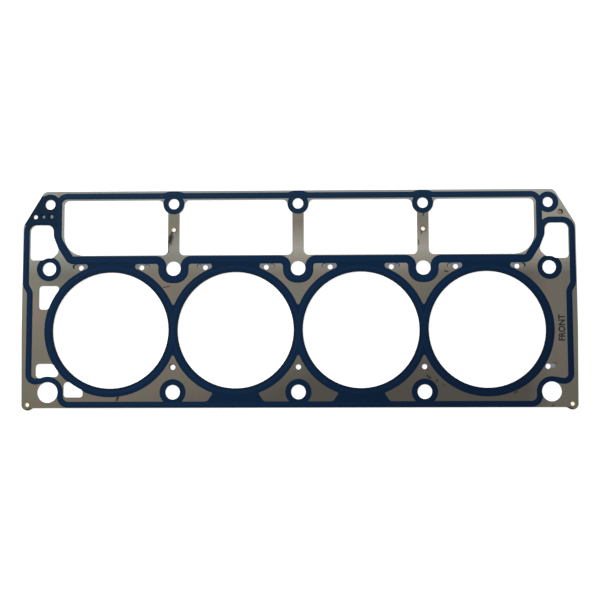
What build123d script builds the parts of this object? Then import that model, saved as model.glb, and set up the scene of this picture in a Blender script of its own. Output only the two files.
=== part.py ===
from build123d import *

import os
from math import acos, atan2, hypot, tan

# Multi-layer steel head gasket for one bank of four cylinders, lying flat.
# X runs along the bores with the front end at +X, +Y points to the valley side, Z is up.
# The origin is the middle of the head-bolt pattern, on the flat underside of the lower
# sheet, which is the side that meets the block. Everything is in millimetres.

# Cylinders
bore_count = 4
bore_diameter = 103.6
bore_bridge = 8.16  # between two bores, which puts them 111.76 apart

# Bolt and dowel holes
head_bolt_reach = 3.36  # from the level of a bore's edge to each row of head bolts
head_bolt_hole = 12.9
end_bolt_hole = 12.2  # upper head-bolt row, first and last
valley_bolt_reach = 58.44  # above the upper head-bolt row
valley_bolt_hole = 9.5
end_valley_hole = 9.0
rear_dowel_hole = 18.4
front_dowel_hole = 17.5

# The rim, measured from the outermost holes
valley_margin = 11.8
sump_margin = 13.84
side_margin = 24.08
side_taper = 1.2  # each side, from the bore line down
shoulder_height = 31.3  # the cut-off upper corners
shoulder_width = 18.65
shoulder_radius = 6.0
ear_radius = 5.0  # the lower corners, round the eyelets
ear_drop = 2.0
ear_flat = 1.8
ear_ramp = 3.4
ear_blend = 3.0

# Valley windows
web_width = 10.2
window_sill = 12.04  # above the upper head-bolt row
window_head = 3.6  # above the valley bolt row
window_corner = 4.5
window_end_gap = 12.52  # from the outermost bolt column
window_end_radius = 18.5
boss_radius = 9.6  # round the valley bolts
boss_root = 1.0

# Upper coolant openings, measured from the end bolt of the upper head-bolt row
coolant_outside = 17.7
coolant_inside = 2.9
coolant_top = 39.84
coolant_knee = (3.5, 29.3)
coolant_toe = (8.9, 16.0)
coolant_heel = 0.9
coolant_floor = 8.04
coolant_corner = 6.0
coolant_knee_radius = 12.0
coolant_toe_radius = 5.5
coolant_foot_radius = 3.5
coolant_boss = 9.9  # clear of the end bolt
coolant_blend = 3.0  # where the boss runs into the opening's sides

# Openings at the rear end only. Widths are measured from the rear bolt column, the slot's
# height from the upper head-bolt row and the ports' heights from the lower one.
bore_land = 7.5  # steel kept round the bore beside an opening
rear_slot_outside = 9.0
rear_slot_floor = -36.36
rear_slot_top = -15.16
rear_slot_corner = 2.8
rear_port_outside = 11.0
rear_port_top = 25.46
rear_port_floor = 12.76
rear_port_step = 1.0  # the floor is higher between the dowel and the bore
rear_port_corner = 3.3
dowel_land = 5.0  # steel kept round the dowel hole
foot_port_outside = 14.2
foot_port_inside = 31.5
foot_port_floor = -4.34
foot_port_land = 6.8
foot_port_corner = 2.6
foot_port_apex = 3.8

# Small water holes
steam_hole = 4.4
steam_hole_reach = 27.3  # either side of a bore centre
steam_hole_rise = 0.94  # above the upper head-bolt row
vent_hole = 4.6
vent_rise = 22.11  # above the lower head-bolt row
front_vent_inset = 2.92  # inside the end bolt column
locator_hole = 3.8
locator_offset = (-13.18, -11.2)  # from the rear valley bolt

# Cut-outs in the upper sheet only, which show the spacer below
steam_slot_length = 13.6
steam_slot_width = 4.2
steam_slot_rise = 1.1  # above its water hole
steam_slot_shift = 0.8  # away from the middle of its bore
vent_slot_length = 9.0
vent_slot_rise = 0.5
vent_slot_width = 4.0
vent_relief = 5.8  # at the rear vent hole
vent_relief_offset = (-0.44, 0.35)
witness_hole = 5.2
witness_offset = (10.78, -8.9)  # from the front valley bolt

# Layers
sheet_thickness = 0.25
spacer_thickness = 0.70
coat_thickness = 0.05
stopper_thickness = 0.10
stopper_width = 1.7
stopper_clearance = 0.2
stopper_flank = 0.3  # the upper sheet steps up over the stopper rings

# Beads pressed into the two outer sheets
bead_height = 0.22
bead_flank = 0.7
bead_width = 3.4
bore_bead_inset = 4.08  # from the bore's edge to the middle of its bead

# Seal tracks, which carry the printed coat
track_width = 5.3
seal_gap = 1.85  # from the coolant seal to the oil seal beside it
seal_lead = 0.5  # straight run below the bend where the two seals part
oil_seal_head = 7.3  # above the valley bolt row
oil_seal_corner = 7.2
oil_hump_rise = 1.6
oil_hump_half = 3.5
oil_hump_ramp = 5.0
oil_hump_radius = 6.0
seal_sill = 6.89  # above the upper head-bolt row
seal_inside = 6.22  # inside the end bolt column
seal_knee = 26.3  # above the upper head-bolt row
seal_slope = 12.4
seal_knee_radius = 14.0
seal_slope_radius = 5.8
seal_over_port = 2.65  # above the coolant opening
seal_over_inner_radius = 8.15
seal_over_outer_radius = 8.65
seal_side = 20.83  # outside the end bolt column
seal_waist = 17.18
seal_jog_drop = 14.66  # below the upper head-bolt row
seal_jog_height = 6.0
seal_jog_radius = 8.0
seal_foot = 2.95  # above the lower rim
seal_foot_radius = 7.5
rear_dowel_wrap = 11.3  # radius of the seal round a dowel hole
front_dowel_wrap = 10.7
rear_return_rise = 8.65  # above the lower head-bolt row, out at the waist
front_return_rise = 8.1
dowel_return_radius = 6.3
dip_half = 10.95  # the seals pass under the upper head bolts
dip_depth = 10.5
dip_radius = 9.3
dip_shoulder = 5.0

# Printed rings and patches
bore_ring_width = 7.7
bore_ring_cusp = 1.3  # where two of the rings meet
bolt_ring = 11.6
end_bolt_ring = 10.9
end_ring_shift = 0.4  # these two sit a little towards the ends
valley_ring = 9.4
bridge_half = 20.2  # the print closes up between the middle bores and the lower seal
bridge_splay = 6.8
bridge_tip = 1.0
bridge_root = 4.0
sill_fill_half = 22.0  # the print also closes up between a bore and the seals above it
corner_patch_rise = 7.8  # above the rear valley bolt
coat_edge = 0.2  # the print stops short of the rim
bare_marks = [((-5.78, -11.1), 1.25), ((1.42, -11.0), 1.5)]  # from the rear valley bolt

# Eyelets
eyelet_bore = 3.5
eyelet_wall = 0.35
eyelet_fit = 0.05
eyelet_flange = 4.8
eyelet_flange_thickness = 0.32
eyelet_roll = 0.12
eyelet_mouth = 0.28
eyelet_ear_rise = 3.0  # above the lower rim
eyelet_web_drop = 23.4  # below the valley bolt row

# Places worked out from the sizes above
bore_radius = bore_diameter / 2
bore_pitch = bore_diameter + bore_bridge
head_bolt_row = bore_radius + head_bolt_reach
valley_bolt_row = head_bolt_row + valley_bolt_reach
bore_xs = [(i - (bore_count - 1) / 2) * bore_pitch for i in range(bore_count)]
column_xs = [(i - bore_count / 2) * bore_pitch for i in range(bore_count + 1)]
middle_xs = column_xs[1:-1]
end_x = column_xs[-1]
top_y = valley_bolt_row + valley_margin
bottom_y = -head_bolt_row - sump_margin
side_x = end_x + side_margin
foot_x = side_x - side_taper
sill_y = head_bolt_row + window_sill
head_y = valley_bolt_row + window_head
coolant_top_y = head_bolt_row + coolant_top
eyelet_x = foot_x - ear_radius
eyelet_radius = eyelet_bore / 2 + eyelet_wall
eyelet_points = [
    (-eyelet_x, bottom_y + eyelet_ear_rise),
    (eyelet_x, bottom_y + eyelet_ear_rise),
    (middle_xs[0], valley_bolt_row - eyelet_web_drop),
    (middle_xs[-1], valley_bolt_row - eyelet_web_drop),
]
steam_y = head_bolt_row + steam_hole_rise
steam_points = [(x + reach, steam_y) for x in bore_xs for reach in (-steam_hole_reach, steam_hole_reach)]
vent_y = vent_rise - head_bolt_row
front_vent_x = end_x - front_vent_inset
vent_points = [(x, vent_y) for x in middle_xs + [front_vent_x]]
seal_top_y = coolant_top_y + seal_over_port
seal_join_y = seal_top_y - seal_over_inner_radius - seal_lead
bore_bead_radius = bore_radius + bore_bead_inset
crown_half = bead_width / 2 - bead_flank

# Heights of the layers
spacer_z = sheet_thickness
upper_z = spacer_z + spacer_thickness
top_z = upper_z + sheet_thickness


def mirrored(points):
    """The points of the right half, and then those of the left half in return order."""
    return points + [(-x, y) for x, y in reversed(points)]


def rounded(points, radii):
    """A closed outline of straight runs with the given corner radii."""
    with BuildSketch(mode=Mode.PRIVATE) as outline:
        with BuildLine():
            FilletPolyline(*points, radius=radii, close=True)
        make_face()
    return outline.sketch


def near(outline, x, y, count=1):
    """The corners nearest to a point, of a sketch that is still being built."""
    return outline.vertices().sort_by_distance((x, y, 0))[:count]


def rim():
    """The outer shape, with its cut-off shoulders and the ears round the lower eyelets."""
    right = [
        (side_x - shoulder_width, top_y),
        (side_x, top_y - shoulder_height),
        (side_x, 0),
        (foot_x, bottom_y - ear_drop),
        (eyelet_x - ear_flat, bottom_y - ear_drop),
        (eyelet_x - ear_flat - ear_ramp, bottom_y),
    ]
    radii = [shoulder_radius, shoulder_radius, 0, ear_radius, ear_blend, ear_blend]
    return rounded(mirrored(right), radii + radii[::-1])


def window(left, right):
    """One opening between two valley bolts, which lets oil drain past the webs."""
    at_rear = left == -end_x
    at_front = right == end_x
    x0 = left + (window_end_gap if at_rear else web_width / 2)
    x1 = right - (window_end_gap if at_front else web_width / 2)
    corners = [(x0, sill_y), (x1, sill_y), (x1, head_y), (x0, head_y)]
    radii = [
        window_end_radius if at_rear else window_corner,
        window_end_radius if at_front else window_corner,
        window_corner if at_front else 0,
        window_corner if at_rear else 0,
    ]
    head_reach = (boss_radius**2 - window_head**2) ** 0.5
    root_drop = (boss_radius**2 - (web_width / 2) ** 2) ** 0.5
    with BuildSketch(mode=Mode.PRIVATE) as opening:
        add(rounded(corners, radii))
        for x, side, plain in ((left, 1, at_rear), (right, -1, at_front)):
            if not plain:
                with Locations((x, valley_bolt_row)):
                    Circle(boss_radius, mode=Mode.SUBTRACT)
                fillet(near(opening, x + side * head_reach, head_y), radius=window_corner)
                root = near(opening, x + side * web_width / 2, valley_bolt_row - root_drop)
                fillet(root, radius=boss_root)
    return opening.sketch


def coolant_opening(side):
    """The large coolant opening above the bolt at one end; side is -1 or 1."""
    points = [
        (end_x + coolant_outside, coolant_top_y),
        (end_x - coolant_inside, coolant_top_y),
        (end_x - coolant_knee[0], head_bolt_row + coolant_knee[1]),
        (end_x - coolant_toe[0], head_bolt_row + coolant_toe[1]),
        (end_x - coolant_heel, head_bolt_row + coolant_floor),
        (end_x + coolant_outside, head_bolt_row + coolant_floor),
    ]
    radii = [
        coolant_corner,
        coolant_corner,
        coolant_knee_radius,
        coolant_toe_radius,
        0,
        coolant_foot_radius,
    ]
    with BuildSketch(mode=Mode.PRIVATE) as opening:
        add(rounded([(side * x, y) for x, y in points], radii))
        with Locations((side * end_x, head_bolt_row)):
            Circle(coolant_boss, mode=Mode.SUBTRACT)
        fillet(near(opening, side * end_x, head_bolt_row, count=2), radius=coolant_blend)
    return opening.sketch


def block(x0, x1, y0, y1):
    """A plain rectangle between two corners."""
    with Locations(((x0 + x1) / 2, (y0 + y1) / 2)):
        Rectangle(x1 - x0, y1 - y0)


def clear_of_bore(land):
    """Keeps steel round the rear bore."""
    with Locations((bore_xs[0], 0)):
        Circle(bore_radius + land, mode=Mode.SUBTRACT)


def rear_openings():
    """The three water openings that only the rear end has, beside the first bore."""
    with BuildSketch(mode=Mode.PRIVATE) as slot:
        block(
            -end_x - rear_slot_outside,
            bore_xs[0] - bore_radius / 2,
            head_bolt_row + rear_slot_floor,
            head_bolt_row + rear_slot_top,
        )
        clear_of_bore(bore_land)
        fillet(slot.vertices(), radius=rear_slot_corner)
    with BuildSketch(mode=Mode.PRIVATE) as port:
        floor_y = rear_port_floor - head_bolt_row
        port_top_y = rear_port_top - head_bolt_row
        block(-end_x - rear_port_outside, -end_x, floor_y, port_top_y)
        block(-end_x, bore_xs[0] - bore_radius / 2, floor_y + rear_port_step, port_top_y)
        clear_of_bore(bore_land)
        with Locations((-end_x, -head_bolt_row)):
            Circle(rear_dowel_hole / 2 + dowel_land, mode=Mode.SUBTRACT)
        fillet(port.vertices(), radius=rear_port_corner)
    with BuildSketch(mode=Mode.PRIVATE) as foot_port:
        foot_y = foot_port_floor - head_bolt_row
        block(-end_x + foot_port_outside, -end_x + foot_port_inside, foot_y, 0)
        clear_of_bore(foot_port_land)
        apex, *corners = foot_port.vertices().sort_by(Axis.Y, reverse=True)
        fillet(corners, radius=foot_port_corner)
        fillet(near(foot_port, apex.X, apex.Y), radius=foot_port_apex)
    return [slot.sketch, port.sketch, foot_port.sketch]


def hole_rows():
    """Every round hole through the whole gasket, as a diameter and its places."""
    lower_row = [(x, -head_bolt_row) for x in middle_xs]
    upper_row = [(x, head_bolt_row) for x in middle_xs]
    return [
        (bore_diameter, [(x, 0) for x in bore_xs]),
        (head_bolt_hole, lower_row + upper_row),
        (end_bolt_hole, [(-end_x, head_bolt_row), (end_x, head_bolt_row)]),
        (valley_bolt_hole, [(x, valley_bolt_row) for x in middle_xs]),
        (end_valley_hole, [(-end_x, valley_bolt_row), (end_x, valley_bolt_row)]),
        (rear_dowel_hole, [(-end_x, -head_bolt_row)]),
        (front_dowel_hole, [(end_x, -head_bolt_row)]),
        (steam_hole, steam_points),
        (vent_hole, vent_points),
        (locator_hole, [(locator_offset[0] - end_x, locator_offset[1] + valley_bolt_row)]),
        (2 * (eyelet_radius + eyelet_fit), eyelet_points),
    ]


def blank():
    """The outline that every layer is cut to."""
    with BuildSketch(mode=Mode.PRIVATE) as plate:
        add(rim())
        for left, right in zip(column_xs[:-1], column_xs[1:]):
            add(window(left, right), mode=Mode.SUBTRACT)
        add([coolant_opening(-1), coolant_opening(1)], mode=Mode.SUBTRACT)
        add(rear_openings(), mode=Mode.SUBTRACT)
        for diameter, places in hole_rows():
            with Locations(*places):
                Circle(diameter / 2, mode=Mode.SUBTRACT)
    return plate.sketch


def shared_run():
    """Where the two seals run side by side, from end to end under the valley windows."""
    sill = head_bolt_row + seal_sill
    points = []
    radii = []
    for x in middle_xs:
        points += [(x - dip_half, sill), (x - dip_half, head_bolt_row - dip_depth)]
        points += [(x + dip_half, head_bolt_row - dip_depth), (x + dip_half, sill)]
        radii += [dip_shoulder, dip_radius, dip_radius, dip_shoulder]
    slope = [
        (end_x - seal_inside - seal_slope, sill),
        (end_x - seal_inside, head_bolt_row + seal_knee),
        (end_x - seal_inside, seal_join_y),
    ]
    slope_radii = [seal_slope_radius, seal_knee_radius]
    points = [(-x, y) for x, y in reversed(slope)] + points + slope
    with BuildLine(mode=Mode.PRIVATE) as run:
        FilletPolyline(*points, radius=slope_radii[::-1] + radii + slope_radii)
    return run


def oil_field():
    """The area that the oil seal goes round: the windows and the valley bolts."""
    side = end_x - seal_inside - seal_gap
    head = valley_bolt_row + oil_seal_head
    points = [(-side, seal_join_y), (-side, head)]
    radii = [oil_seal_corner]
    for x in middle_xs:
        ramp_foot = oil_hump_half + oil_hump_ramp
        points += [(x - ramp_foot, head), (x - oil_hump_half, head + oil_hump_rise)]
        points += [(x + oil_hump_half, head + oil_hump_rise), (x + ramp_foot, head)]
        radii += [oil_hump_radius] * 4
    points += [(side, head), (side, seal_join_y)]
    with BuildSketch(mode=Mode.PRIVATE) as field:
        with BuildLine():
            add(shared_run().wire().offset_2d(seal_gap, side=Side.LEFT, closed=False))
            FilletPolyline(*points, radius=radii + [oil_seal_corner])
        make_face()
    return field.sketch


def seal_end(wrap, return_rise):
    """The coolant seal's corners at one end, from the oil seal down to the foot."""
    jog_y = head_bolt_row - seal_jog_drop
    # The run from the waist meets the arc round the dowel hole as its tangent.
    touch = atan2(return_rise, seal_waist) + acos(wrap / hypot(return_rise, seal_waist))
    wrap_rise = wrap / tan(touch / 2)
    return [
        (end_x - seal_inside, seal_join_y),
        (end_x - seal_inside, seal_top_y),
        (end_x + seal_side, seal_top_y),
        (end_x + seal_side, jog_y),
        (end_x + seal_waist, jog_y - seal_jog_height),
        (end_x + seal_waist, -head_bolt_row + return_rise),
        (end_x - wrap, -head_bolt_row + wrap_rise),
        (end_x - wrap, bottom_y + seal_foot),
    ]


def coolant_field():
    """The area that the coolant seal goes round: the bores and the water openings."""
    front = seal_end(front_dowel_wrap, front_return_rise)
    rear = [(-x, y) for x, y in reversed(seal_end(rear_dowel_wrap, rear_return_rise))]
    top_radii = [
        seal_over_inner_radius,
        seal_over_outer_radius,
        seal_jog_radius,
        seal_jog_radius,
        dowel_return_radius,
    ]
    foot_radii = [front_dowel_wrap, seal_foot_radius, seal_foot_radius, rear_dowel_wrap]
    with BuildSketch(mode=Mode.PRIVATE) as field:
        with BuildLine():
            add(shared_run().line)
            FilletPolyline(*front, *rear, radius=top_radii + foot_radii + top_radii[::-1])
        make_face()
    return field.sketch


def swelled(field, amount):
    """A field grown outwards, or drawn inwards by a negative amount."""
    with BuildSketch(mode=Mode.PRIVATE) as grown:
        offset(field, amount=amount)
    return grown.sketch


def track(field):
    """The strip of a given field's edge that carries the print."""
    with BuildSketch(mode=Mode.PRIVATE) as strip:
        add(swelled(field, track_width / 2))
        add(swelled(field, -track_width / 2), mode=Mode.SUBTRACT)
    return strip.sketch


def print_area(on_top):
    """Where the elastomer is printed: the seals, the rings and, on top only, the patches."""
    ring_radius = bore_radius + bore_ring_width
    bridge_top = -((ring_radius**2 - bridge_half**2) ** 0.5)
    bridge_foot = bottom_y + seal_foot
    with BuildSketch(mode=Mode.PRIVATE) as area:
        add([track(oil_field()), track(coolant_field())])
        with Locations(*[(x, 0) for x in bore_xs]):
            Circle(ring_radius)
        with Locations(*[(x, -head_bolt_row) for x in middle_xs]):
            Circle(bolt_ring)
        ring_x = end_x + end_ring_shift
        with Locations((-ring_x, head_bolt_row), (ring_x, head_bolt_row)):
            Circle(end_bolt_ring)
        with Locations(*[(x, valley_bolt_row) for x in column_xs]):
            Circle(valley_ring)
        with Locations(*[(x, (bore_radius + head_bolt_row + seal_sill) / 2) for x in bore_xs]):
            Rectangle(2 * sill_fill_half, head_bolt_row + seal_sill - bore_radius)
        cusp_y = (ring_radius**2 - (bore_pitch / 2) ** 2) ** 0.5
        for x in middle_xs:
            for y in (-cusp_y, cusp_y):
                fillet(near(area, x, y), radius=bore_ring_cusp)
        if on_top:
            for x in bore_xs[1:-1]:
                corners = [
                    (x - bridge_half, bridge_top),
                    (x + bridge_half, bridge_top),
                    (x + bridge_half + bridge_splay, bridge_foot),
                    (x - bridge_half - bridge_splay, bridge_foot),
                ]
                with BuildLine():
                    Polyline(*corners, close=True)
                make_face()
                for side in (-1, 1):
                    fillet(near(area, x + side * bridge_half, bridge_top), radius=bridge_tip)
                    root_x = x + side * (bridge_half + bridge_splay)
                    fillet(near(area, root_x, bridge_foot + track_width / 2), radius=bridge_root)
            patch_side = -end_x + seal_inside + seal_gap
            corners = [
                (-side_x, coolant_top_y),
                (-side_x, valley_bolt_row + corner_patch_rise),
                (-end_x, valley_bolt_row + corner_patch_rise),
                (patch_side, valley_bolt_row),
                (patch_side, coolant_top_y),
            ]
            with BuildLine():
                Polyline(*corners, close=True)
            make_face()
            add(upper_cutouts(), mode=Mode.SUBTRACT)
            for (x, y), radius in bare_marks:
                with Locations((x - end_x, y + valley_bolt_row)):
                    Circle(radius, mode=Mode.SUBTRACT)
        add(swelled(rim(), -coat_edge), mode=Mode.INTERSECT)
        add(blank(), mode=Mode.INTERSECT)
    return area.sketch


def upper_cutouts():
    """What is cut from the upper sheet alone, so that the spacer shows."""
    with BuildSketch(mode=Mode.PRIVATE) as cutouts:
        for x in bore_xs:
            for side in (-1, 1):
                middle = x + side * (steam_hole_reach + steam_slot_shift)
                with Locations((middle, steam_y + steam_slot_rise)):
                    SlotOverall(steam_slot_length, steam_slot_width)
        vent_slot_x = front_vent_x + (vent_slot_length - vent_slot_width) / 2
        with Locations((vent_slot_x, vent_y + vent_slot_rise)):
            SlotOverall(vent_slot_length, vent_slot_width)
        with Locations((middle_xs[0] + vent_relief_offset[0], vent_y + vent_relief_offset[1])):
            Circle(vent_relief / 2)
        with Locations((end_x + witness_offset[0], valley_bolt_row + witness_offset[1])):
            Circle(witness_hole / 2)
    return cutouts.sketch


def seal_bead(field):
    """The raised ridge along the edge of a field, from its foot up to its crown."""
    with BuildPart(mode=Mode.PRIVATE) as ridge:
        for side, mode in ((1, Mode.ADD), (-1, Mode.SUBTRACT)):
            with BuildSketch():
                offset(field, amount=side * bead_width / 2)
            with BuildSketch(Plane.XY.offset(bead_height)):
                offset(field, amount=side * crown_half)
            loft(ruled=True, mode=mode)
    return ridge.part


def bore_bead():
    """The ring-shaped ridge round one bore, centred on the origin."""
    with BuildPart(mode=Mode.PRIVATE) as ring:
        with BuildSketch(Plane.XZ):
            with BuildLine():
                Polyline(
                    (bore_bead_radius - bead_width / 2, 0),
                    (bore_bead_radius + bead_width / 2, 0),
                    (bore_bead_radius + crown_half, bead_height),
                    (bore_bead_radius - crown_half, bead_height),
                    close=True,
                )
            make_face()
        revolve(axis=Axis.Z)
    return ring.part


def stopper_step():
    """The low step round one bore where a sheet passes over its stopper ring."""
    edge = bore_radius + stopper_width + stopper_clearance
    with BuildPart(mode=Mode.PRIVATE) as step:
        with BuildSketch(Plane.XZ):
            with BuildLine():
                Polyline(
                    (bore_radius, 0),
                    (edge + stopper_flank, 0),
                    (edge, stopper_thickness),
                    (bore_radius, stopper_thickness),
                    close=True,
                )
            make_face()
        revolve(axis=Axis.Z)
    return step.part


def pressing(over_stoppers):
    """All that the press raises above a flat sheet: seal beads, bore beads and steps."""
    with BuildPart(mode=Mode.PRIVATE) as form:
        add([seal_bead(oil_field()), seal_bead(coolant_field())])
        with Locations(*[(x, 0, 0) for x in bore_xs]):
            add(bore_bead())
            if over_stoppers:
                add(stopper_step())
    return form.part


plate = blank()
upper_form = pressing(over_stoppers=True)
lower_form = mirror(pressing(over_stoppers=False), about=Plane.XY)

with BuildPart() as lower_sheet:
    with BuildSketch():
        add(plate)
    extrude(amount=sheet_thickness)
    add(lower_form)
    with Locations((0, 0, sheet_thickness)):
        add(lower_form, mode=Mode.SUBTRACT)

with BuildPart() as spacer_sheet:
    with BuildSketch(Plane.XY.offset(spacer_z)):
        add(plate)
    extrude(amount=spacer_thickness)

with BuildPart() as upper_sheet:
    with BuildSketch(Plane.XY.offset(upper_z)):
        add(plate)
        add(upper_cutouts(), mode=Mode.SUBTRACT)
    extrude(amount=sheet_thickness)
    with Locations((0, 0, top_z)):
        add(upper_form)
    with Locations((0, 0, upper_z)):
        add(upper_form, mode=Mode.SUBTRACT)

with BuildPart() as lower_coat:
    with BuildSketch():
        add(print_area(on_top=False))
    extrude(amount=-coat_thickness)
    with Locations((0, 0, -coat_thickness)):
        add(lower_form)
    add(lower_form, mode=Mode.SUBTRACT)

with BuildPart() as upper_coat:
    with BuildSketch(Plane.XY.offset(top_z)):
        add(print_area(on_top=True))
    extrude(amount=coat_thickness)
    with Locations((0, 0, top_z + coat_thickness)):
        add(upper_form)
    with Locations((0, 0, top_z)):
        add(upper_form, mode=Mode.SUBTRACT)

pieces = {
    "lower_sheet": lower_sheet,
    "spacer_sheet": spacer_sheet,
    "upper_sheet": upper_sheet,
    "lower_coat": lower_coat,
    "upper_coat": upper_coat,
}

for number, x in enumerate(bore_xs, start=1):
    with BuildPart() as stopper_ring:
        with BuildSketch(Plane.XY.offset(upper_z)):
            with Locations((x, 0)):
                Circle(bore_radius + stopper_width)
                Circle(bore_radius, mode=Mode.SUBTRACT)
        extrude(amount=stopper_thickness)
    pieces[f"stopper_ring_{number}"] = stopper_ring

for name, (x, y) in zip(("rear_ear", "front_ear", "rear_web", "front_web"), eyelet_points):
    with BuildPart() as eyelet:
        with BuildSketch(Plane.XZ.offset(-y)):
            with BuildLine():
                Polyline(
                    (x + eyelet_bore / 2, -eyelet_flange_thickness),
                    (x + eyelet_flange / 2, -eyelet_flange_thickness),
                    (x + eyelet_flange / 2, 0),
                    (x + eyelet_radius, 0),
                    (x + eyelet_radius, top_z),
                    (x + eyelet_flange / 2, top_z),
                    (x + eyelet_flange / 2, top_z + eyelet_flange_thickness),
                    (x + eyelet_bore / 2, top_z + eyelet_flange_thickness),
                    close=True,
                )
            make_face()
        revolve(axis=Axis((x, y, 0), (0, 0, 1)))
        ends = eyelet.faces().filter_by(Axis.Z).sort_by(Axis.Z)
        for end in (ends[0], ends[-1]):
            mouth, lip = end.edges().sort_by(SortBy.RADIUS)
            fillet(mouth, radius=eyelet_mouth)
            fillet(lip, radius=eyelet_roll)
    pieces[f"eyelet_{name}"] = eyelet

os.makedirs("parts", exist_ok=True)
for name, piece in pieces.items():
    piece.part.label = name
    export_step(piece.part, f"parts/{name}.step")
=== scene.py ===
# %% [markdown]
# # A multi-layer steel head gasket
#
# Three layers of sheet steel are riveted together by hollow brass eyelets, and a dark blue
# elastomer is printed over the beads on both outer faces. The sheets, the printed tracks
# and the eyelets come from the solid model with their true shapes. This lesson gives them
# their finishes and their marks of handling, adds the printed word that shows which way
# round the gasket fits, and sets up a plain studio seen from above.

import math

import bmesh
import bpy
from mathutils import Matrix, Vector


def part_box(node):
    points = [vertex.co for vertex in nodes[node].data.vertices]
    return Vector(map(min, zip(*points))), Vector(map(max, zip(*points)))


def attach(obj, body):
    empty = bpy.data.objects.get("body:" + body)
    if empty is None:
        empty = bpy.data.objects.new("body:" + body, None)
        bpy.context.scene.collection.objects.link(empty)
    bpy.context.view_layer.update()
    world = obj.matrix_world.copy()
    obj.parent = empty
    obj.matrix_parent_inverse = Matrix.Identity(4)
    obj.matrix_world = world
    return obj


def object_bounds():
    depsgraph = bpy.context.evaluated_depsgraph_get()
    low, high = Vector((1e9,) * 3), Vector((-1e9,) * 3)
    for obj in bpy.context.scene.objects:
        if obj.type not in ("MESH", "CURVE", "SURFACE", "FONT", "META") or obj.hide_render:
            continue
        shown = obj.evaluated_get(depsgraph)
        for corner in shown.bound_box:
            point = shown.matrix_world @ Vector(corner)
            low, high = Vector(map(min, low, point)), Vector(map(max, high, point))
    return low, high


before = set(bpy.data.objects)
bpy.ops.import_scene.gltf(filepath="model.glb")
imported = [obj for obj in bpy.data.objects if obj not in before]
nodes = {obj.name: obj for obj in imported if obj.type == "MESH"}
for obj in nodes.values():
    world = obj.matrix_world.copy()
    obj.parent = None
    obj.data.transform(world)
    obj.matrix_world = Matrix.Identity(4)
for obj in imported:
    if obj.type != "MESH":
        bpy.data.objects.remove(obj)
cad_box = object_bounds()
MM = 0.001
print("pieces of the solid model:", len(nodes))

# %% [markdown]
# ## Small helpers for shader nodes
#
# Each finish is a short chain of shader nodes. A helper that makes a node, sets its
# fields and fills or links its sockets keeps every material to a few readable lines. All
# patterns read Object coordinates, turned into millimetres, because these stay fixed to
# the metal from any side.


# %% Nodes and links
def wire(tree, socket, value):
    """Links a socket to another one, or sets it to a plain value."""
    if isinstance(value, bpy.types.NodeSocket):
        tree.links.new(value, socket)
    else:
        socket.default_value = value


def add_node(tree, kind, fields=None, sockets=None):
    """Makes a shader node; sockets are given by name or by number."""
    made = tree.nodes.new(kind)
    for field, value in (fields or {}).items():
        setattr(made, field, value)
    for key, value in (sockets or {}).items():
        wire(tree, made.inputs[key], value)
    return made


print("helpers for nodes and links are ready")


# %% Steps of arithmetic
def work_out(tree, operation, first, second=0.0):
    """One step of arithmetic on two values."""
    return add_node(tree, "ShaderNodeMath", {"operation": operation}, {0: first, 1: second}).outputs[0]


def product(tree, first, *others):
    """Several shares multiplied together."""
    for other in others:
        first = work_out(tree, "MULTIPLY", first, other)
    return first


def strongest(tree, first, *others):
    """The greatest of several shares at each point."""
    for other in others:
        first = work_out(tree, "MAXIMUM", first, other)
    return first


def vector_step(tree, operation, sockets):
    """One step of arithmetic on places; gives all its results."""
    return add_node(tree, "ShaderNodeVectorMath", {"operation": operation}, sockets).outputs


print("values are multiplied, compared and measured by nodes")


# %% A new finish
def new_finish(name):
    """A new material: its tree, its surface shader, and the Object coordinates in mm."""
    finish = bpy.data.materials.new(name)
    finish.use_nodes = True
    tree = finish.node_tree
    place = add_node(tree, "ShaderNodeTexCoord").outputs["Object"]
    in_mm = vector_step(tree, "SCALE", {0: place, "Scale": 1 / MM})[0]
    print("new finish:", name)
    return finish, tree, tree.nodes["Principled BSDF"], in_mm


print("finishes measure in millimetres, of", MM, "m each")

# %% [markdown]
# ## Colours, ramps and noise
#
# Colours are written as on a paint chart, from 0 to 255, and turned into the linear
# values that shaders use. A ramp turns any value into a share from 0 to 1, and a blend
# mixes two colours by such a share. Noise scaled along one axis gives the long streaks
# that rolling leaves in strip steel.


# %% Colours and ramps
def paint(red, green, blue):
    """A paint-chart colour in linear values."""
    linear = []
    for channel in (red, green, blue):
        share = channel / 255
        linear.append(((share + 0.055) / 1.055) ** 2.4 if share > 0.04 else share / 12.92)
    return (*linear, 1.0)


def ramp(tree, value, low, high, to_low=0.0, to_high=1.0):
    """Stretches a value from the range low to high onto another range, and clamps it."""
    sockets = {"Value": value, "From Min": low, "From Max": high, "To Min": to_low, "To Max": to_high}
    return add_node(tree, "ShaderNodeMapRange", {"clamp": True}, sockets).outputs[0]


def blend(tree, share, first, second):
    """Mixes two colours by a share from 0 to 1."""
    mix = add_node(tree, "ShaderNodeMix", {"data_type": "RGBA"}, {"Factor": share})
    wire(tree, mix.inputs[6], first)
    wire(tree, mix.inputs[7], second)
    return mix.outputs[2]


print("a mid grey in linear values:", round(paint(128, 128, 128)[0], 3))


# %% Noise and directions
def times(tree, place, factors):
    """The place, scaled along each axis."""
    return vector_step(tree, "MULTIPLY", {0: place, 1: factors})[0]


def flatten(tree, place):
    """The place without its height, so that a mark runs down through the sheet."""
    return times(tree, place, (1.0, 1.0, 0.0))


def noise(tree, place, size, detail=2.0):
    """Smooth noise from 0 to 1, whose blobs are about size millimetres across."""
    sockets = {"Vector": place, "Scale": 1 / size, "Detail": detail}
    return add_node(tree, "ShaderNodeTexNoise", None, sockets).outputs["Fac"]


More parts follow.
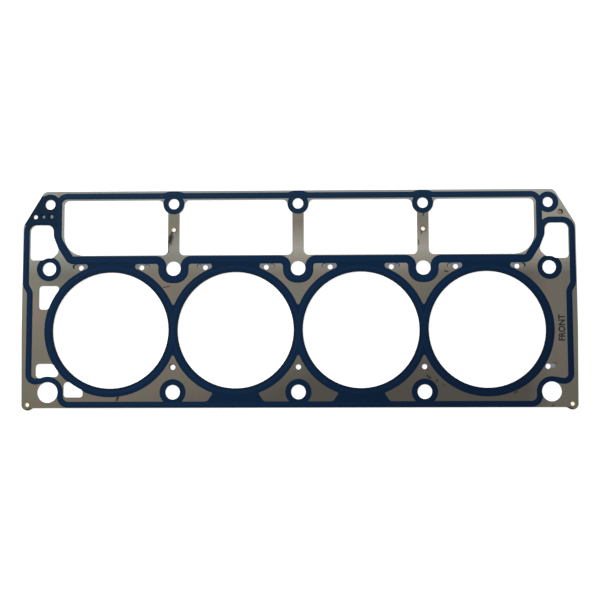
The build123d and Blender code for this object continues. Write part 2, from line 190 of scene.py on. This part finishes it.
def axes_of(tree, place):
    """The X, Y and Z of a place or direction."""
    return add_node(tree, "ShaderNodeSeparateXYZ", None, {0: place}).outputs


def upright(tree):
    """1 on a sheared edge or the wall of a hole, and 0 on a flat face."""
    normal = add_node(tree, "ShaderNodeTexCoord").outputs["Normal"]
    tilt = work_out(tree, "ABSOLUTE", axes_of(tree, normal)["Z"])
    return ramp(tree, tilt, 0.5, 0.2)


print("walls are told from faces by the Z of the normal")

# %% [markdown]
# ## Marks of handling and painted shadows
#
# The real gasket has a few scratches, smears and specks. An image could hold them, but
# there are few, and drawn by nodes they need no file and stay sharp. Each is a short line:
# the distance from a point of the surface to the nearest point of that line is small on
# the mark, and a soft ramp turns it into a share. A painted shadow at a hole's rim is a
# crescent, what is left of a disc once a shifted disc is taken away.


# %% Streaks
def streak(tree, flat_place, mark):
    """The share of a soft line; mark is x1, y1, x2, y2 and width in millimetres, and share."""
    x1, y1, x2, y2, width, share = mark
    start = Vector((x1, y1, 0))
    run = Vector((x2, y2, 0)) - start
    away = vector_step(tree, "SUBTRACT", {0: flat_place, 1: start})[0]
    if run.length > 0:
        dot = vector_step(tree, "DOT_PRODUCT", {0: away, 1: run})["Value"]
        along = ramp(tree, dot, 0.0, run.length_squared)
        foot = vector_step(tree, "SCALE", {0: run, "Scale": along})[0]
        away = vector_step(tree, "SUBTRACT", {0: away, 1: foot})[0]
    distance = vector_step(tree, "LENGTH", {0: away})["Value"]
    return ramp(tree, distance, 0.2 * width, 0.8 * width, share, 0.0)


def all_streaks(tree, flat_place, marks):
    """The share of a whole list of soft lines."""
    return strongest(tree, *[streak(tree, flat_place, mark) for mark in marks])


print("a streak fades out at 0.8 of its width from its line")


# %% Crescents
def crescent(tree, flat_place, shadow_crescent):
    """The share of a painted shadow; shadow_crescent is x, y, radius and the shift of the clean disc."""
    x, y, radius, shift_x, shift_y = shadow_crescent
    whole = {0: flat_place, 1: Vector((x, y, 0))}
    clean = {0: flat_place, 1: Vector((x + shift_x, y + shift_y, 0))}
    inside = ramp(tree, vector_step(tree, "DISTANCE", whole)["Value"], radius + 0.4, radius)
    outside = ramp(tree, vector_step(tree, "DISTANCE", clean)["Value"], radius - 0.6, radius + 0.1)
    return product(tree, inside, outside)


print("a crescent is a disc less a shifted disc")

# %% [markdown]
# ## Bare spring steel
#
# The webs and the triangles between the bores are bare stainless strip. It shows long
# faint streaks of warmer and greener grey, and it pales a little towards the front end,
# partly the strip's own tint and partly painted sheen. A picture of brushed metal would do
# for one view, but noise that is stretched along Y gives such streaks anywhere. A metallic
# shader takes them as its colour, and fine grain in the bump and the roughness keeps its
# reflections soft.

# %% Streaks of rolling
STREAK_WIDTH = 5.0
STREAK_STRETCH = (1.0, 0.12, 1.0)
REAR_TO_FRONT = (-130.0, 90.0)


def rolled_tone(tree, place):
    """The strip's colour in long streaks, paler to the front, partly as painted sheen."""
    streaks = noise(tree, times(tree, place, STREAK_STRETCH), STREAK_WIDTH, detail=3.0)
    streaks = ramp(tree, streaks, 0.35, 0.65)
    rear_tone = blend(tree, streaks, paint(101, 90, 82), paint(92, 92, 79))
    front_tone = blend(tree, streaks, paint(118, 107, 99), paint(109, 109, 97))
    # the paling to the front is partly the strip's tint and partly painted sheen
    return blend(tree, ramp(tree, axes_of(tree, place)["X"], *REAR_TO_FRONT), rear_tone, front_tone)


print("the strip pales from X =", REAR_TO_FRONT[0], "to", REAR_TO_FRONT[1], "mm")


# %% Grain of rolling
GRAIN_WIDTH = 0.35
GRAIN_STRETCH = (0.08, 1.0, 1.0)
GRAIN_DEPTH = 0.02 * MM


def rolled_surface(tree, place, shader):
    """Fine grain, in the roughness and the bump."""
    grain = noise(tree, times(tree, place, GRAIN_STRETCH), GRAIN_WIDTH, detail=3.0)
    sockets = {"Strength": 0.25, "Distance": GRAIN_DEPTH, "Height": grain}
    bump = add_node(tree, "ShaderNodeBump", None, sockets)
    wire(tree, shader.inputs["Roughness"], ramp(tree, grain, 0.3, 0.7, 0.36, 0.48))
    wire(tree, shader.inputs["Normal"], bump.outputs[0])
    shader.inputs["Metallic"].default_value = 0.85


print("the grain is", GRAIN_WIDTH, "mm wide")

# %% [markdown]
# ## Lighter and darker parts of the strip
#
# The strip isn't even: it is darker at the lower front and in the rear corner, and paler on
# the webs and along the valley rim. The darker parts are partly stain and partly painted
# shade, and the paler parts partly stain and partly painted sheen. An image could carry
# them, but ramps along X and Y are enough and stay smooth at any size. Each pair below
# says where such a change starts and where it ends, in millimetres.

# %% Darker parts, partly stain and partly painted shade
LOWER_FRONT = (-15.0, 50.0)
LOWER_ROW = (-52.0, -5.0)
FRONT_PLATE = (202.0, 222.0)
REAR_CORNER_X = (-140.0, -205.0)
REAR_CORNER_Y = (25.0, 48.0)
REAR_EDGE = (-235.0, -218.0)


def slanting(tree, axes):
    """A value that grows towards the lower front corner."""
    return work_out(tree, "SUBTRACT", work_out(tree, "MULTIPLY", axes["X"], 0.5), axes["Y"])


def with_stain_and_painted_shade(tree, axes, tone):
    """Darkens the lower front and the rear corner: partly stain, partly painted shade."""
    below = ramp(tree, axes["Y"], *LOWER_ROW, 1.0, 0.65)
    before_plate = ramp(tree, axes["X"], *FRONT_PLATE, 1.0, 0.6)
    front = product(tree, ramp(tree, slanting(tree, axes), *LOWER_FRONT), below, before_plate)
    # darker lower front: partly stain, partly painted shade
    tone = blend(tree, front, tone, paint(73, 70, 64))
    across = ramp(tree, axes["X"], *REAR_CORNER_X)
    along = ramp(tree, axes["Y"], *REAR_CORNER_Y)
    corner = product(tree, across, along, ramp(tree, axes["X"], *REAR_EDGE, 0.2, 0.6))
    # darker rear corner: partly stain, partly painted shade
    return blend(tree, corner, tone, paint(70, 73, 72))


print("darker: the lower front and the rear corner")

# %% Paler parts, partly stain and partly painted sheen
WEB_FOOT = (50.0, 72.0)
WEB_HEAD = (96.0, 74.0)
END_PLATES = (188.0, 204.0)
WEBS_REAR_TO_FRONT = (-120.0, 20.0)
VALLEY_RIM = (106.0, 120.0)
RIM_REAR_TO_FRONT = (-215.0, 215.0)


def with_stain_and_painted_sheen(tree, axes, tone):
    """Pales the webs, the upper ends and the valley rim: partly stain, partly painted sheen."""
    ends = ramp(tree, work_out(tree, "ABSOLUTE", axes["X"]), *END_PLATES, 0.0, 0.8)
    fading = strongest(tree, ramp(tree, axes["Y"], *WEB_HEAD), ends)
    webs = product(tree, ramp(tree, axes["Y"], *WEB_FOOT), fading)
    to_front = ramp(tree, axes["X"], *WEBS_REAR_TO_FRONT)
    # paler webs: partly stain, partly painted sheen
    tone = blend(tree, webs, tone, blend(tree, to_front, paint(109, 109, 103), paint(146, 142, 132)))
    to_front = ramp(tree, axes["X"], *RIM_REAR_TO_FRONT)
    rim_tone = blend(tree, to_front, paint(92, 94, 91), paint(150, 151, 147))
    # paler valley rim: partly stain, partly painted sheen
    return blend(tree, ramp(tree, axes["Y"], *VALLEY_RIM), tone, rim_tone)


def steel_tone(tree, place):
    """The colour of the strip, in streaks and broad parts, with painted shade and sheen."""
    axes = axes_of(tree, place)
    return with_stain_and_painted_sheen(tree, axes, with_stain_and_painted_shade(tree, axes, rolled_tone(tree, place)))


print("paler: the webs, the upper ends and the valley rim")

# %% [markdown]
# ## The marks on the upper sheet
#
# The real gasket carries a smear and some ticks on the webs, a scratch and a few specks
# between the bores, a brown heat tint near the rear shoulder, brown rings where the
# eyelets were set, and a blue bloom in the two bare spots of the rear corner patch. They
# have no depth, so they are colour alone and nothing is cut. Each line gives x1, y1, x2,
# y2, width and share.

# %% Dark marks of the upper sheet
DARK_MARKS = [
    # the smear below the rear web's eyelet
    (-113.0, 87.8, -114.4, 84.4, 1.8, 0.9),
    (-114.2, 83.8, -115.6, 79.0, 4.4, 0.95),
    (-116.0, 79.0, -116.9, 74.0, 2.2, 0.85),
    (-113.9, 77.6, -113.9, 76.2, 1.0, 0.6),
    (-117.0, 72.6, -116.2, 70.0, 1.2, 0.6),
    # ticks on the front web
    (110.3, 88.0, 110.3, 85.6, 1.0, 0.8),
    (107.7, 80.0, 107.7, 76.0, 1.0, 0.8),
    (112.3, 104.2, 112.3, 102.0, 1.2, 0.8),
    # scratches round the bores
    (-120.5, 38.3, -115.0, 39.3, 1.0, 0.8),
    (130.6, 52.0, 133.4, 51.4, 1.3, 0.9),
    (-160.4, -59.6, -161.4, -62.0, 1.8, 0.95),
    (190.8, -56.2, 192.8, -55.2, 1.4, 0.7),
    # smudges below the last bridge
    (113.8, -41.0, 116.8, -43.0, 1.7, 0.8),
    (122.4, -45.4, 122.4, -45.4, 2.1, 0.7),
    (128.2, -49.2, 128.2, -49.2, 1.8, 0.5),
    (114.2, -36.0, 114.2, -36.0, 1.4, 0.5),
    # specks on the front plate and at the ears
    (238.5, 58.5, 238.5, 58.5, 1.0, 0.6),
    (225.4, -29.9, 228.0, -30.8, 1.2, 0.45),
    (223.6, -67.4, 225.0, -67.4, 1.4, 0.65),
    (237.6, -69.6, 241.2, -70.4, 1.6, 0.9),
    (-241.2, -70.4, -237.6, -69.6, 1.6, 0.7),
    # in the two bare spots of the rear corner patch
    (-230.6, 103.2, -230.6, 103.2, 1.6, 0.7),
    (-223.4, 102.8, -223.4, 102.8, 1.8, 0.6),
]
print("dark marks:", len(DARK_MARKS))

# %% Coloured marks of the upper sheet
BROWN_MARKS = [
    (-217.0, 122.3, -214.6, 121.6, 3.2, 0.55),
    (241.4, -66.0, 241.4, -66.0, 4.8, 1.0),
    (-241.4, -66.0, -241.4, -66.0, 4.8, 1.0),
    (111.76, 90.2, 111.76, 90.2, 5.4, 0.9),
    (-111.76, 90.2, -111.76, 90.2, 5.4, 0.9),
]
BLUE_MARKS = [
    (-229.3, 102.5, -229.3, 102.5, 4.0, 1.0),
    (-222.1, 102.6, -222.1, 102.6, 4.4, 1.0),
]
print("brown marks:", len(BROWN_MARKS), "blue marks:", len(BLUE_MARKS))

# %% [markdown]
# ## Steel of the two outer sheets
#
# Both outer sheets are the same strip, whose sheared edges are rough. These edges and the
# walls of the holes are painted dark, as painted shade. One finish would do for both, but
# the marks belong to the upper sheet alone and would show below too, so each sheet has its
# own.

# %% The upper sheet's steel
STEEL_EDGE_SHADE = paint(52, 50, 46)


def make_upper_steel():
    """Spring steel with its dark, brown and blue marks."""
    finish, tree, shader, place = new_finish("sheet_steel")
    flat_place = flatten(tree, place)
    tone = steel_tone(tree, place)
    tone = blend(tree, all_streaks(tree, flat_place, BROWN_MARKS), tone, paint(96, 74, 50))
    tone = blend(tree, all_streaks(tree, flat_place, BLUE_MARKS), tone, paint(72, 92, 100))
    tone = blend(tree, all_streaks(tree, flat_place, DARK_MARKS), tone, paint(26, 25, 24))
    # the edges and the walls of the holes get painted shade
    wire(tree, shader.inputs["Base Color"], blend(tree, upright(tree), tone, STEEL_EDGE_SHADE))
    rolled_surface(tree, place, shader)
    return finish


upper_steel = make_upper_steel()


# %% The lower sheet's steel
def make_lower_steel():
    """The same steel without the marks."""
    finish, tree, shader, place = new_finish("lower_steel")
    # the edges and the walls of the holes get painted shade
    tone = blend(tree, upright(tree), steel_tone(tree, place), STEEL_EDGE_SHADE)
    wire(tree, shader.inputs["Base Color"], tone)
    rolled_surface(tree, place, shader)
    return finish


lower_steel = make_lower_steel()

# %% [markdown]
# ## The spacer, seen through the slots
#
# The thick middle sheet is a cooler grey than the spring steel. It shows in the slots at
# the water holes and in the witness hole at the front end. Most of these have a painted
# shadow at one side, a dark crescent where the rim of the sheet above shades the spacer. A
# sheet this thin throws only a faint shadow under soft lamps, so the crescents are painted
# at the slot ends.

# %% Painted shadows at the rims
BORE_PITCH = 111.76
STEAM_SLOT_ROW = 57.2
SLOT_END = 28.1 + 4.7  # from the middle of the bore
SHADOW_CRESCENT_RADIUS = 2.1
SHADOW_CRESCENTS = [
    (234.3, 104.7, 2.6, -0.9, -0.75),
    (-112.2, -32.7, 2.9, 0.35, -0.35),
    (-1.5 * BORE_PITCH - SLOT_END, STEAM_SLOT_ROW, SHADOW_CRESCENT_RADIUS, 1.3, -0.6),
    (1.5 * BORE_PITCH + SLOT_END, STEAM_SLOT_ROW, SHADOW_CRESCENT_RADIUS, -1.1, -0.5),
]
for bore in (-1.5, -0.5, 0.5):
    SHADOW_CRESCENTS.append((bore * BORE_PITCH + SLOT_END, STEAM_SLOT_ROW, SHADOW_CRESCENT_RADIUS, -0.3, -0.2))
    SHADOW_CRESCENTS.append(((bore + 1) * BORE_PITCH - SLOT_END, STEAM_SLOT_ROW, SHADOW_CRESCENT_RADIUS, 0.4, -0.2))
print("dark lips:", len(SHADOW_CRESCENTS))

# %% The spacer's tones
SPACER_REAR_TO_FRONT = (-190.0, 40.0)
WITNESS_HOLE_Y = (90.0, 100.0)


def spacer_tone(tree, place):
    """Cloudy grey, paler to the front and warmer in the witness hole."""
    axes = axes_of(tree, place)
    cloudy = ramp(tree, noise(tree, place, 2.5, detail=3.0), 0.35, 0.65)
    rear_tone = blend(tree, cloudy, paint(86, 88, 88), paint(96, 98, 99))
    front_tone = blend(tree, cloudy, paint(112, 113, 115), paint(124, 125, 129))
    tone = blend(tree, ramp(tree, axes["X"], *SPACER_REAR_TO_FRONT), rear_tone, front_tone)
    return blend(tree, ramp(tree, axes["Y"], *WITNESS_HOLE_Y), tone, paint(120, 111, 104))


print("the spacer pales over X", SPACER_REAR_TO_FRONT)


# %% The spacer's steel
def make_spacer_steel():
    """Cooler grey steel with a painted shadow crescent at each slot end."""
    finish, tree, shader, place = new_finish("spacer_steel")
    flat_place = flatten(tree, place)
    shadow_crescents = strongest(tree, *[crescent(tree, flat_place, shadow_crescent) for shadow_crescent in SHADOW_CRESCENTS])
    # the dark crescents are painted shadows of the rims above
    tone = blend(tree, shadow_crescents, spacer_tone(tree, place), paint(30, 26, 26))
    # the spacer's edges and the walls of its holes get painted shade
    wire(tree, shader.inputs["Base Color"], blend(tree, upright(tree), tone, paint(56, 55, 54)))
    rolled_surface(tree, place, shader)
    return finish


spacer_steel = make_spacer_steel()

# %% [markdown]
# ## Printed elastomer
#
# The sealing tracks are screen-printed rubber, a navy film with a soft sheen. It carries a
# painted highlight along the crown of each bead, where the height above the middle of the
# gasket is greatest, and painted shade just outside each bore. Both could be painted
# by hand on the mesh, but height and distance find them exactly. The distance to the
# nearest bore is found by wrapping X to one pitch, so one small chain serves all four.
# The film also has a painted highlight along the valley rim and painted shade at the lower
# front.

# %% Painted shade at the rims of the bores
BORE_RADIUS = 51.8
END_COLUMN = 2 * BORE_PITCH


def bore_rim_shade(tree, axes):
    """The share of the painted shade just outside the bores."""
    held = ramp(tree, axes["X"], -END_COLUMN, END_COLUMN, -END_COLUMN, END_COLUMN)
    shifted = work_out(tree, "SUBTRACT", held, BORE_PITCH / 2)
    one_pitch = {0: shifted, 1: BORE_PITCH / 2, 2: -BORE_PITCH / 2}
    wrapped = add_node(tree, "ShaderNodeMath", {"operation": "WRAP"}, one_pitch).outputs[0]
    across = work_out(tree, "POWER", work_out(tree, "ABSOLUTE", wrapped), 2.0)
    along = work_out(tree, "POWER", work_out(tree, "ABSOLUTE", axes["Y"]), 2.0)
    distance = work_out(tree, "SQRT", work_out(tree, "ADD", across, along))
    return ramp(tree, distance, BORE_RADIUS + 0.3, BORE_RADIUS + 2.0, 1.0, 0.0)


print("bores of radius", BORE_RADIUS, "mm, one to each", BORE_PITCH, "mm")

# %% Crowns of the beads
spacer_box = [corner.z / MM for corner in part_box("spacer_sheet")]
gasket_middle = sum(spacer_box) / 2
crown_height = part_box("upper_coat")[1].z / MM - gasket_middle


def bead_crown(tree, axes):
    """1 on the crown of a bead, on either face of the gasket, and 0 beside the bead."""
    height = work_out(tree, "SUBTRACT", axes["Z"], gasket_middle)
    return ramp(tree, work_out(tree, "ABSOLUTE", height), crown_height - 0.2, crown_height)


print("the crowns are", round(crown_height, 2), "mm above the gasket's middle")

# %% Tones of the film
FILM_TO_RIM = (70.0, 120.0)
FILM_TO_LOWER_FRONT = (20.0, 130.0)
PATCH_X = (-212.0, -218.0)
PATCH_Y = (88.0, 94.0)


def film_tone(tree, place):
    """Navy, uneven as a print is, with painted highlights on the bead crowns and along the valley rim,
    painted shade at the bores and the lower front, and a darker rear patch.
    """
    axes = axes_of(tree, place)
    # painted highlight: the film is paler on the crowns of the beads
    film = blend(tree, bead_crown(tree, axes), paint(8, 34, 58), paint(12, 39, 68))
    cloudy = noise(tree, place, 3.0, detail=3.0)
    film = blend(tree, ramp(tree, cloudy, 0.4, 0.7, 0.0, 0.4), film, paint(12, 35, 70))
    # painted highlight along the valley rim
    film = blend(tree, ramp(tree, axes["Y"], *FILM_TO_RIM, 0.0, 0.7), film, paint(24, 47, 72))
    # painted shade at the lower front
    lower_front = ramp(tree, slanting(tree, axes), *FILM_TO_LOWER_FRONT, 0.0, 0.7)
    film = blend(tree, lower_front, film, paint(4, 22, 46))
    patch = product(tree, ramp(tree, axes["X"], *PATCH_X), ramp(tree, axes["Y"], *PATCH_Y), 0.6)
    film = blend(tree, patch, film, paint(6, 26, 44))
    # painted shade just outside each bore
    return blend(tree, product(tree, bore_rim_shade(tree, axes), 0.8), film, paint(8, 22, 32))


print("the film is palest at the valley rim")

# %% Elastomer
FILM_SMEARS = [(-231.0, 104.2, -231.0, 103.2, 2.8, 0.9), (-224.2, 104.0, -224.2, 101.6, 2.6, 0.8)]
FILM_SPECK = (-123.0, 120.8, -123.0, 120.8, 1.0, 0.5)


def make_blue_elastomer():
    """Printed rubber with a fine skin, two smears and a speck."""
    finish, tree, shader, place = new_finish("blue_elastomer")
    flat_place = flatten(tree, place)
    film = film_tone(tree, place)
    film = blend(tree, all_streaks(tree, flat_place, FILM_SMEARS), film, paint(2, 12, 22))
    film = blend(tree, streak(tree, flat_place, FILM_SPECK), film, paint(90, 110, 130))
    skin = noise(tree, place, 0.5)
    bump = add_node(tree, "ShaderNodeBump", None, {"Strength": 0.2, "Distance": 0.00001, "Height": skin})
    wire(tree, shader.inputs["Base Color"], film)
    wire(tree, shader.inputs["Roughness"], ramp(tree, skin, 0.3, 0.7, 0.5, 0.6))
    wire(tree, shader.inputs["Normal"], bump.outputs[0])
    shader.inputs["Specular IOR Level"].default_value = 0.05
    return finish


blue_elastomer = make_blue_elastomer()

# %% [markdown]
# ## Brass eyelets
#
# Each eyelet is a short brass tube with both ends rolled over. It is a piece of the solid
# model, so only its finish is made here. Clean brass would shine out at this size, and the
# real rings are dull, so the metal is tarnished and a little mottled.


# %% Brass
def make_eyelet_brass():
    """Tarnished brass, a little mottled."""
    finish, tree, shader, place = new_finish("eyelet_brass")
    mottled = noise(tree, place, 0.8)
    tone = blend(tree, ramp(tree, mottled, 0.3, 0.7), paint(112, 96, 58), paint(150, 130, 84))
    wire(tree, shader.inputs["Base Color"], tone)
    shader.inputs["Metallic"].default_value = 0.9
    shader.inputs["Roughness"].default_value = 0.42
    return finish


eyelet_brass = make_eyelet_brass()

# %% [markdown]
# ## Giving the pieces their finishes
#
# The solid model's own pieces keep their meshes, because their shapes are right. Each only
# gets its material.


# %% Finishes on the pieces
def dress(name, finish):
    """Gives one piece of the solid model its finish."""
    piece = nodes[name]
    piece.data.materials.clear()
    piece.data.materials.append(finish)


for name in nodes:
    if name.endswith("_coat"):
        dress(name, blue_elastomer)
    elif name.startswith("eyelet"):
        dress(name, eyelet_brass)
    elif name == "upper_sheet":
        dress(name, upper_steel)
    elif name == "lower_sheet":
        dress(name, lower_steel)
    elif name == "spacer_sheet":
        dress(name, spacer_steel)
    else:
        dress(name, spacer_steel)
print("dressed:", len(nodes), "pieces")

# %% [markdown]
# ## The word that shows the front end
#
# A gasket for one bank of a vee engine fits only one way round, so its front end is
# marked with a plain word. It is printed in dark ink beside the last bore and reads from
# the lower edge up. An image could carry it, but a thin raised mesh has crisp edges. A
# text object is made a mesh, merged, and only then scaled, turned and moved, so the
# finished piece keeps its place in its mesh.

# %% Lettering
STROKE_SWELL = 0.03  # thickens the strokes, as wet ink does

text = bpy.data.curves.new("front_word", "FONT")
text.body = "FRONT"
text.extrude = 0.5
text.offset = STROKE_SWELL
text.resolution_u = 4
text_object = bpy.data.objects.new("front_word", text)
bpy.context.scene.collection.objects.link(text_object)
bpy.context.view_layer.update()
word_mesh = bpy.data.meshes.new_from_object(text_object)
bpy.data.objects.remove(text_object)
print("the word has", len(word_mesh.polygons), "faces")

# %% Lettering at its size
WORD_LENGTH = 23.5
CAP_HEIGHT = 6.1
INK_THICKNESS = 0.02

letters = bmesh.new()
letters.from_mesh(word_mesh)
bmesh.ops.remove_doubles(letters, verts=letters.verts, dist=0.0001)
bmesh.ops.recalc_face_normals(letters, faces=letters.faces)
low = Vector([min(vert.co[axis] for vert in letters.verts) for axis in range(3)])
high = Vector([max(vert.co[axis] for vert in letters.verts) for axis in range(3)])
wanted = Vector((WORD_LENGTH, CAP_HEIGHT, INK_THICKNESS)) * MM
bmesh.ops.translate(letters, verts=letters.verts, vec=-low)
bmesh.ops.scale(letters, verts=letters.verts, vec=[wanted[axis] / (high - low)[axis] for axis in range(3)])
print("the word is", WORD_LENGTH, "mm long and", CAP_HEIGHT, "mm high")

# %% Lettering in its place
UPPER_SHEET = 0.25
UNDER_INK = 0.002  # keeps the ink clear of the steel
steel_top = spacer_box[1] + UPPER_SHEET
word_place = Vector((236.4, -10.5, steel_top + UNDER_INK))

quarter_turn = Matrix.Rotation(math.radians(90), 3, "Z")
bmesh.ops.rotate(letters, verts=letters.verts, cent=(0, 0, 0), matrix=quarter_turn)
bmesh.ops.translate(letters, verts=letters.verts, vec=word_place * MM)
letters.to_mesh(word_mesh)
letters.free()
front_word = bpy.data.objects.new("front_word", word_mesh)
bpy.context.scene.collection.objects.link(front_word)
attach(front_word, "root")
print("the word lies on the steel, at a height of", round(word_place.z, 3), "mm")


# %% Ink
def make_dark_ink():
    """Patchy ink, close to black."""
    finish, tree, shader, place = new_finish("dark_ink")
    patchy = noise(tree, place, 0.9)
    tone = blend(tree, ramp(tree, patchy, 0.35, 0.7), paint(6, 10, 14), paint(24, 28, 32))
    wire(tree, shader.inputs["Base Color"], tone)
    shader.inputs["Roughness"].default_value = 0.6
    shader.inputs["Specular IOR Level"].default_value = 0.2
    return finish


word_mesh.materials.clear()
word_mesh.materials.append(make_dark_ink())

# %% [markdown]
# ## The studio
#
# A pale floor right under the gasket, a soft white surround, and two large lamps. More
# light would turn the floor white, and wash out the gasket with it. So the floor and the
# surround are brighter to the camera and in reflections only, and the lamps still shape
# the surfaces. The floor keeps the gasket's soft shadow.

# %% Floor
FLOOR_SIZE = 8.0
FLOOR_GAP = 0.02 * MM
floor_height = cad_box[0].z - FLOOR_GAP

floor_mesh = bmesh.new()
bmesh.ops.create_grid(floor_mesh, x_segments=1, y_segments=1, size=FLOOR_SIZE / 2)
bmesh.ops.translate(floor_mesh, verts=floor_mesh.verts, vec=(0, 0, floor_height))
floor_data = bpy.data.meshes.new("floor")
floor_mesh.to_mesh(floor_data)
floor_mesh.free()
floor = bpy.data.objects.new("floor", floor_data)
bpy.context.scene.collection.objects.link(floor)
print("floor at", round(floor_height / MM, 2), "mm")

# %% The floor's paint
FLOOR_GLOW = 0.6


def seen_rays(tree):
    """1 for camera, glossy and transmission rays, and 0 for the light on the surfaces."""
    rays = add_node(tree, "ShaderNodeLightPath").outputs
    return strongest(tree, rays["Is Camera Ray"], rays["Is Glossy Ray"], rays["Is Transmission Ray"])


floor_paint = bpy.data.materials.new("floor_paint")
floor_paint.use_nodes = True
floor_tree = floor_paint.node_tree
shader = floor_tree.nodes["Principled BSDF"]
shader.inputs["Base Color"].default_value = (0.9, 0.9, 0.9, 1)
shader.inputs["Roughness"].default_value = 0.9
shader.inputs["Specular IOR Level"].default_value = 0.0
shader.inputs["Emission Color"].default_value = (1, 1, 1, 1)
wire(floor_tree, shader.inputs["Emission Strength"], product(floor_tree, seen_rays(floor_tree), FLOOR_GLOW))
floor_data.materials.append(floor_paint)
print("the floor glows only for the camera and in reflections")

# %% Surround
AS_LIGHT = 0.4
AS_SEEN = 1.0

world = bpy.data.worlds.new("surround")
bpy.context.scene.world = world
world.use_nodes = True
world_tree = world.node_tree
backdrop = world_tree.nodes["Background"]
backdrop.inputs["Color"].default_value = (1, 1, 1, 1)
strength = ramp(world_tree, seen_rays(world_tree), 0.0, 1.0, AS_LIGHT, AS_SEEN)
wire(world_tree, backdrop.inputs["Strength"], strength)
print("surround:", AS_SEEN, "as seen and", AS_LIGHT, "as light")


# %% Lamps
def soft_lamp(name, place, size, watts):
    """A large square lamp that faces the middle of the gasket."""
    light = bpy.data.lights.new(name, "AREA")
    light.size = size
    light.energy = watts
    lamp = bpy.data.objects.new(name, light)
    lamp.location = place
    lamp.rotation_euler = (-Vector(place)).to_track_quat("-Z", "Y").to_euler()
    bpy.context.scene.collection.objects.link(lamp)
    print(name, "lamp:", watts, "W")


soft_lamp("key", place=(-1.1, 0.9, 1.5), size=1.0, watts=26)
soft_lamp("fill", place=(1.4, -0.7, 1.3), size=1.2, watts=5)

# %% [markdown]
# ## The camera
#
# The photograph looks straight down, with a slight tilt that makes the lower edge a
# little larger. The camera could be aimed by eye, but three small angles about the middle
# of the gasket and a distance along its own axis were fitted to the centres of the holes.

# %% Camera
TILT = 4.095
SWING = 0.990
ROLL = -0.235
BACK_OFF = Vector((1.51, 26.5, 801.9))
LENS = 54.0
SENSOR = 36.0

camera_data = bpy.data.cameras.new("camera")
camera_data.lens = LENS
camera_data.sensor_width = SENSOR
camera = bpy.data.objects.new("camera", camera_data)
turn = Matrix.Rotation(math.radians(TILT), 4, "X")
turn = turn @ Matrix.Rotation(math.radians(SWING), 4, "Y")
turn = turn @ Matrix.Rotation(math.radians(ROLL), 4, "Z")
camera.matrix_world = turn @ Matrix.Translation(BACK_OFF * MM)
bpy.context.scene.collection.objects.link(camera)
bpy.context.scene.camera = camera
bpy.context.scene.view_settings.view_transform = "Standard"
print("camera at", [round(c, 3) for c in camera.matrix_world.translation])
